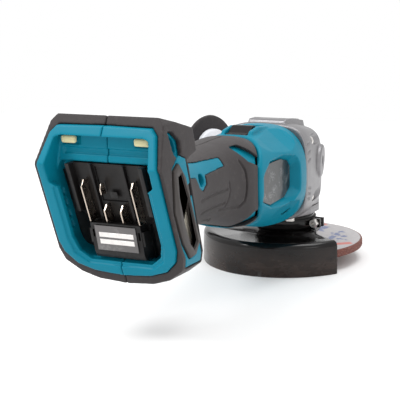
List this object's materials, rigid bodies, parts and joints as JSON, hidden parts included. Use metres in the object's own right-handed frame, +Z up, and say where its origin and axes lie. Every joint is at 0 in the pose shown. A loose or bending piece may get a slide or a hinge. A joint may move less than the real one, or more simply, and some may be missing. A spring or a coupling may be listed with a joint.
{
  "type": "angle grinder",
  "caption": "Cordless angle grinder: battery base, rubber grip, slide switch, bevel gear head, adjustable guard, abrasive wheel and side grip.",
  "frame": {"origin": "centre of the spindle's lower end face, on the spindle's axis", "axes": "+Z up along the spindle, +Y forward from the battery base to the gear head, +X to the tool's right"},
  "size_m": [0.2389, 0.3578, 0.1531],
  "materials": {
    "bright_steel": "machined and lightly oiled",
    "terminal_metal": "plated contact metal",
    "cast_aluminium": "fine cast grain, lightly blasted",
    "heat_sink": "plain",
    "teal_plastic": "fine moulded grain with a soft sheen",
    "soft_rubber": "matt overmould",
    "black_plastic": "moulded, slightly glossy",
    "label_sheet": "dark grey sheet, no lettering",
    "mesh_cloth": "woven beige mesh",
    "damper_foam": "cream elastomer",
    "pale_sleeve": "pale satin",
    "copper_winding": "enamelled copper over laminations",
    "abrasive": "bonded grit with a grey face print, no lettering",
    "guard_paint": "black coated sheet steel"
  },
  "bodies": {
    "tool_body": {"bearing_box": "cast_aluminium", "bearing_box_screw_1": "bright_steel", "bearing_box_screw_2": "bright_steel", "bearing_box_screw_3": "bright_steel", "bearing_box_screw_4": "bright_steel", "spindle_bearing_lower": "bright_steel", "spindle_bearing_upper": "bright_steel", "gear_housing": "cast_aluminium", "head_screw_1": "bright_steel", "head_screw_2": "bright_steel", "head_screw_3": "bright_steel", "head_screw_4": "bright_steel", "rotor_bearing_front": "bright_steel", "rotor_bearing_rear": "bright_steel", "shaft_lock_spring": "bright_steel", "motor_housing": "teal_plastic", "side_label_right": "label_sheet", "side_label_left": "label_sheet", "baffle_plate": "black_plastic", "stator": "copper_winding", "switch_body": "black_plastic", "handle_shell_right": "teal_plastic", "handle_shell_left": "teal_plastic", "grip_cover_right": "soft_rubber", "grip_cover_left": "soft_rubber", "bumper_right": "soft_rubber", "bumper_left": "soft_rubber", "dust_cover_right": "black_plastic", "dust_cover_left": "black_plastic", "dust_mesh_right": "mesh_cloth", "dust_mesh_left": "mesh_cloth", "damper_right": "damper_foam", "damper_left": "damper_foam", "handle_screw_1": "bright_steel", "handle_screw_2": "bright_steel", "terminal_block": "black_plastic", "terminal_blade_left": "terminal_metal", "terminal_blade_right": "terminal_metal", "signal_blade_left": "terminal_metal", "signal_blade_right": "terminal_metal", "rating_plate": "label_sheet", "motor_controller": "heat_sink", "side_grip_stud": "bright_steel", "side_grip_neck": "pale_sleeve", "side_grip": "soft_rubber"},
    "spindle_group": {"spindle": "bright_steel", "ring_gear": "bright_steel", "inner_flange": "bright_steel", "grinding_wheel": "abrasive", "lock_nut": "bright_steel"},
    "rotor_group": {"rotor_shaft": "bright_steel", "rotor_core": "bright_steel", "cooling_fan": "black_plastic", "pinion": "bright_steel"},
    "switch_group": {"slide_switch_knob": "black_plastic", "switch_rod": "black_plastic"},
    "shaft_lock_group": {"shaft_lock_pin": "black_plastic"},
    "guard_group": {"wheel_guard": "guard_paint", "guard_clamp_band": "guard_paint", "guard_clamp_screw": "bright_steel"}
  },
  "joints": [
    {"name": "spindle_spin", "type": "hinge", "parent": "tool_body", "child": "spindle_group", "pos_m": [0, 0, 0.05], "axis": [0, 0, 1], "continuous": true},
    {"name": "rotor_spin", "type": "hinge", "parent": "tool_body", "child": "rotor_group", "pos_m": [0, -0.08, 0.074], "axis": [0, 1, 0], "continuous": true},
    {"name": "switch_slide", "type": "slide", "parent": "tool_body", "child": "switch_group", "axis": [0, 1, 0], "range_m": [0, 0.006]},
    {"name": "shaft_lock_press", "type": "slide", "parent": "tool_body", "child": "shaft_lock_group", "axis": [0, 0, -1], "range_m": [0, 0.006], "stiffness_N_per_m": 600, "deforming": ["shaft_lock_spring"]},
    {"name": "guard_turn", "type": "hinge", "parent": "tool_body", "child": "guard_group", "pos_m": [0, 0, 0.02], "axis": [0, 0, 1], "range_deg": [-45, 90]}
  ],
  "couplings": [
    {"joint": "rotor_spin", "follows": "spindle_spin", "ratio": -3.5}
  ]
}
